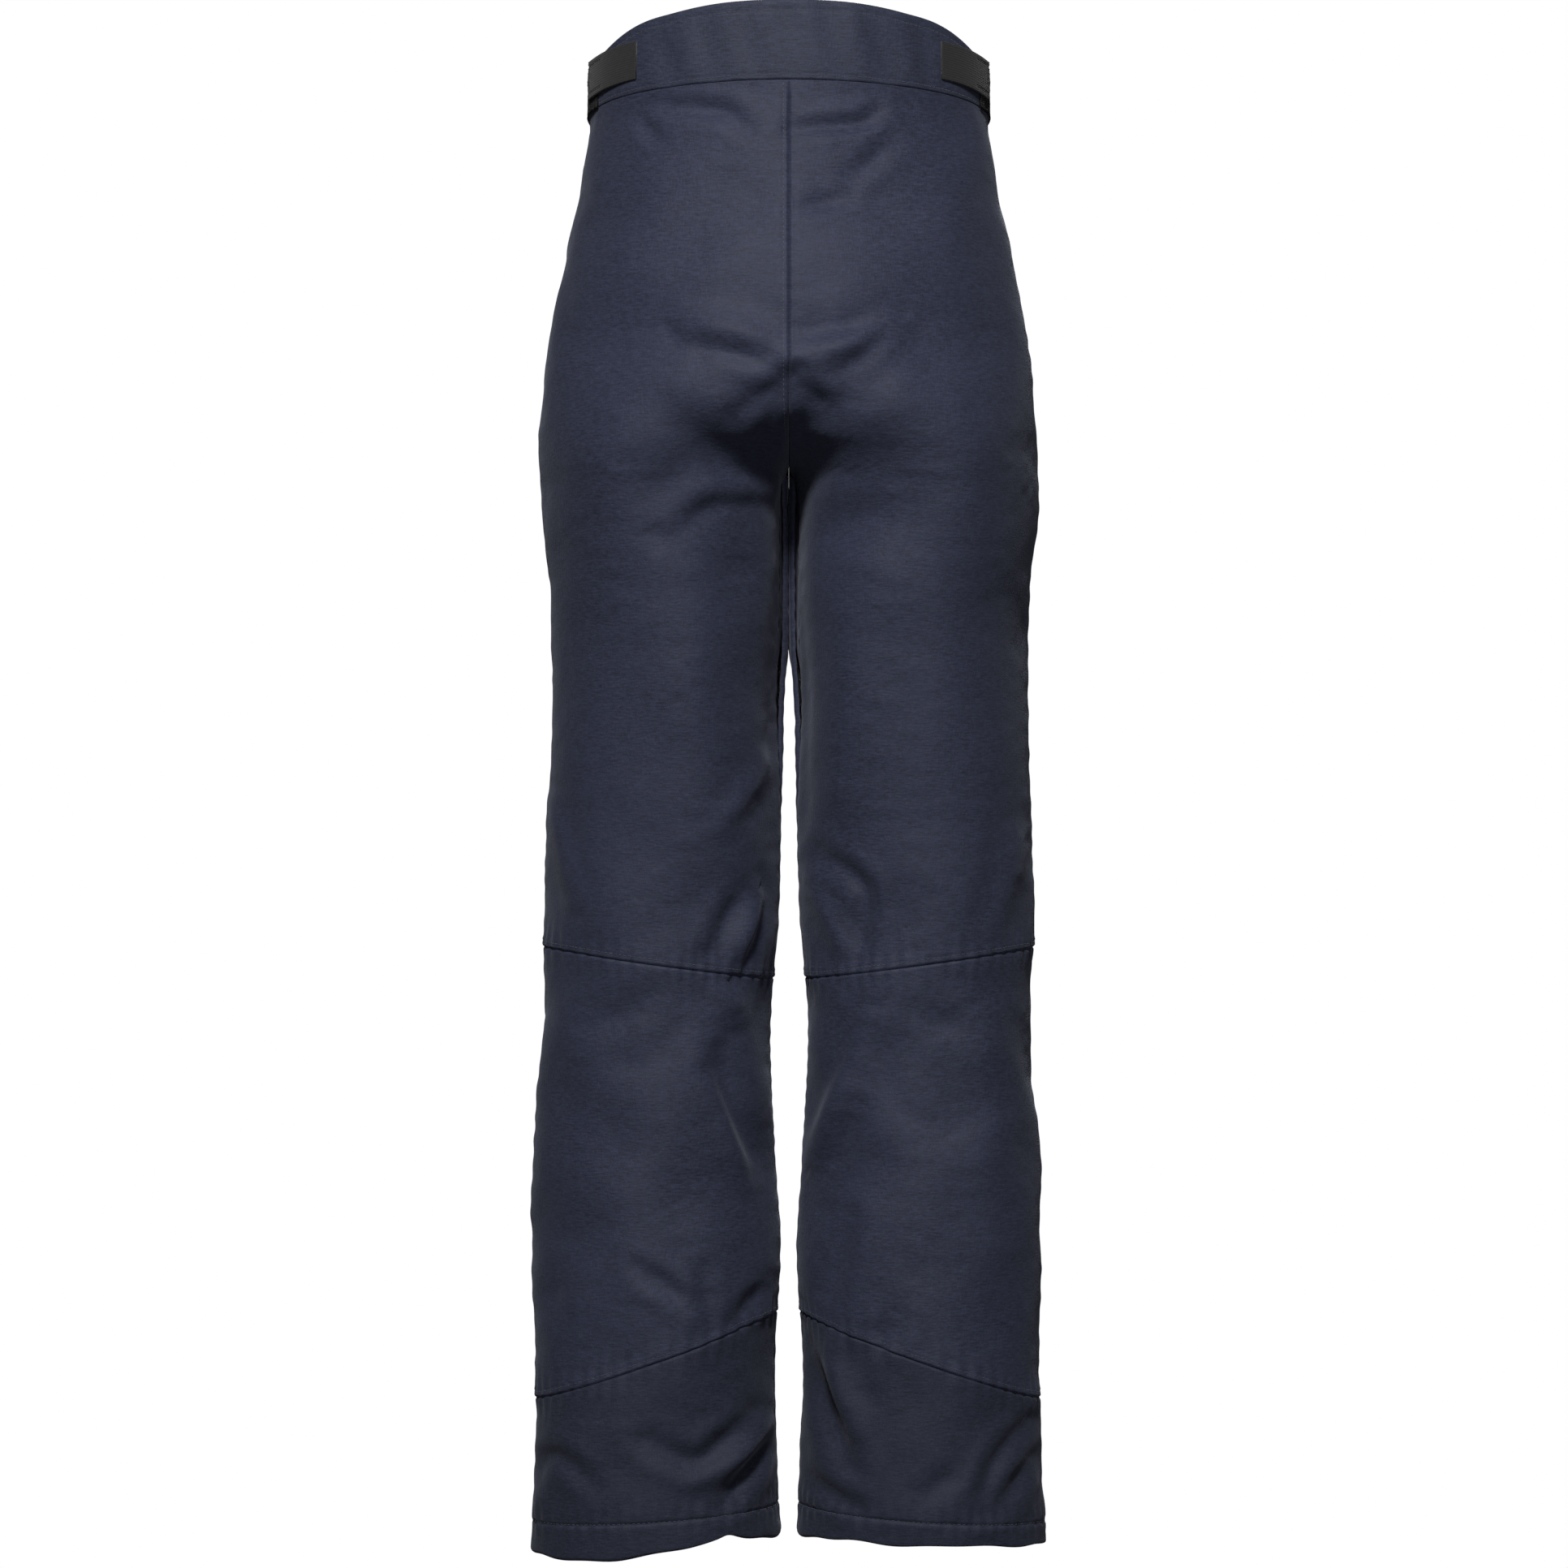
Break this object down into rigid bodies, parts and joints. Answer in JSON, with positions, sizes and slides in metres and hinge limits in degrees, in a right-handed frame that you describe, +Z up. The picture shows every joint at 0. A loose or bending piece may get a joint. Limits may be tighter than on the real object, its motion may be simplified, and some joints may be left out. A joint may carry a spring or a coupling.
{
  "type": "insulated ski trousers",
  "caption": "Padded ski trousers with raised back waist, hook-and-loop waist straps, zipped fly and hand pockets, seamed knees and ankles, inner snow cuffs.",
  "frame": {"origin": "middle of the waist opening, level with the waistband's top at the side seams", "axes": "+Z up, +Y towards the wearer's front, +X towards the wearer's right; the legs hang down -Z"},
  "size_m": [0.3504, 0.2614, 1.034],
  "materials": {
    "shell_cloth": "matte twill with a soft sheen",
    "ankle_cloth": "matte hard-wearing weave",
    "hem_cloth": "turned-up matte weave",
    "band_cloth": "matte twill",
    "tab_cloth": "matte twill",
    "facing_cloth": "brushed tricot",
    "padding_wadding": "soft wadding",
    "lining_cloth": "smooth taffeta",
    "cuff_cloth": "coated taffeta",
    "cuff_elastic": "ribbed grip elastic",
    "hook_metal": "satin",
    "pocket_cloth": "brushed tricot",
    "zip_tape": "woven tape",
    "zip_coil": "satin",
    "slider_metal": "dark satin",
    "pull_rubber": "matte",
    "stud_metal": "satin",
    "snap_caps": "dark satin",
    "strap_elastic": "ribbed woven elastic",
    "hook_tape": "hook tape",
    "loop_tape": "napped loop tape",
    "hanger_ribbon": "woven ribbon",
    "label_satin": "blank satin label"
  },
  "bodies": {
    "trousers": {"back_ankle_left": "ankle_cloth", "back_ankle_right": "ankle_cloth", "back_calf_left": "shell_cloth", "back_calf_right": "shell_cloth", "back_thigh_left": "shell_cloth", "back_thigh_right": "shell_cloth", "back_waistband": "band_cloth", "care_label": "label_satin", "cuff_elastic_left": "cuff_elastic", "cuff_elastic_right": "cuff_elastic", "fly_shield": "band_cloth", "fly_zip_coil": "zip_coil", "fly_zip_tape": "zip_tape", "front_ankle_left": "ankle_cloth", "front_ankle_right": "ankle_cloth", "front_shin_left": "shell_cloth", "front_shin_right": "shell_cloth", "front_thigh_left": "shell_cloth", "front_thigh_right": "shell_cloth", "front_waistband_left": "band_cloth", "front_waistband_right": "band_cloth", "hanger_loops": "hanger_ribbon", "hem_left": "hem_cloth", "hem_right": "hem_cloth", "lace_hook_left": "hook_metal", "lace_hook_right": "hook_metal", "lining_left": "lining_cloth", "lining_right": "lining_cloth", "loop_patch_left": "loop_tape", "loop_patch_right": "loop_tape", "padding_left": "padding_wadding", "padding_right": "padding_wadding", "pocket_bag_left": "pocket_cloth", "pocket_bag_right": "pocket_cloth", "pocket_zip_coil_left": "zip_coil", "pocket_zip_coil_right": "zip_coil", "pocket_zip_tape_left": "zip_tape", "pocket_zip_tape_right": "zip_tape", "snap_studs": "stud_metal", "snow_cuff_left": "cuff_cloth", "snow_cuff_right": "cuff_cloth", "waistband_facing": "facing_cloth", "zip_stops": "zip_coil"},
    "pocket_slider_right": {"pocket_slider_right": "slider_metal"},
    "pocket_pull_right": {"pocket_pull_right": "pull_rubber"},
    "waist_strap_right": {"waist_strap_right": "strap_elastic", "hook_patch_right": "hook_tape"},
    "pocket_slider_left": {"pocket_slider_left": "slider_metal"},
    "pocket_pull_left": {"pocket_pull_left": "pull_rubber"},
    "waist_strap_left": {"waist_strap_left": "strap_elastic", "hook_patch_left": "hook_tape"},
    "fly_slider": {"fly_slider": "slider_metal"},
    "fly_pull": {"fly_pull": "pull_rubber"},
    "closure_tab": {"closure_tab": "tab_cloth", "snap_caps": "snap_caps"}
  },
  "joints": [
    {"name": "pocket_right_zip_slide", "type": "slide", "parent": "trousers", "child": "pocket_slider_right", "axis": [0.3585, -0.0851, -0.9296], "range_m": [0, 0.1119]},
    {"name": "pocket_right_pull_hinge", "type": "hinge", "parent": "pocket_slider_right", "child": "pocket_pull_right", "pos_m": [0.08721, 0.09341, -0.11484], "axis": [0.7189, -0.6101, 0.3331], "range_deg": [0, 165]},
    {"name": "pocket_left_zip_slide", "type": "slide", "parent": "trousers", "child": "pocket_slider_left", "axis": [-0.3585, -0.0851, -0.9296], "range_m": [0, 0.1119]},
    {"name": "pocket_left_pull_hinge", "type": "hinge", "parent": "pocket_slider_left", "child": "pocket_pull_left", "pos_m": [-0.08721, 0.09341, -0.11484], "axis": [0.7189, 0.6101, -0.3331], "range_deg": [0, 165]},
    {"name": "fly_zip_slide", "type": "slide", "parent": "trousers", "child": "fly_slider", "axis": [0, 0.0973, -0.9953], "range_m": [0, 0.1139]},
    {"name": "fly_pull_hinge", "type": "hinge", "parent": "fly_slider", "child": "fly_pull", "pos_m": [0, 0.11172, -0.08009], "axis": [1, 0, 0], "range_deg": [0, 165]},
    {"name": "waist_strap_right_peel", "type": "hinge", "parent": "trousers", "child": "waist_strap_right", "pos_m": [0.10306, -0.06962, -0.006], "axis": [0, 0, -1], "range_deg": [0, 95]},
    {"name": "waist_strap_left_peel", "type": "hinge", "parent": "trousers", "child": "waist_strap_left", "pos_m": [-0.10306, -0.06962, -0.006], "axis": [0, 0, 1], "range_deg": [0, 95]},
    {"name": "closure_tab_hinge", "type": "hinge", "parent": "trousers", "child": "closure_tab", "pos_m": [-0.004, 0.11136, -0.04], "axis": [0, 0, 1], "range_deg": [0, 70]}
  ]
}
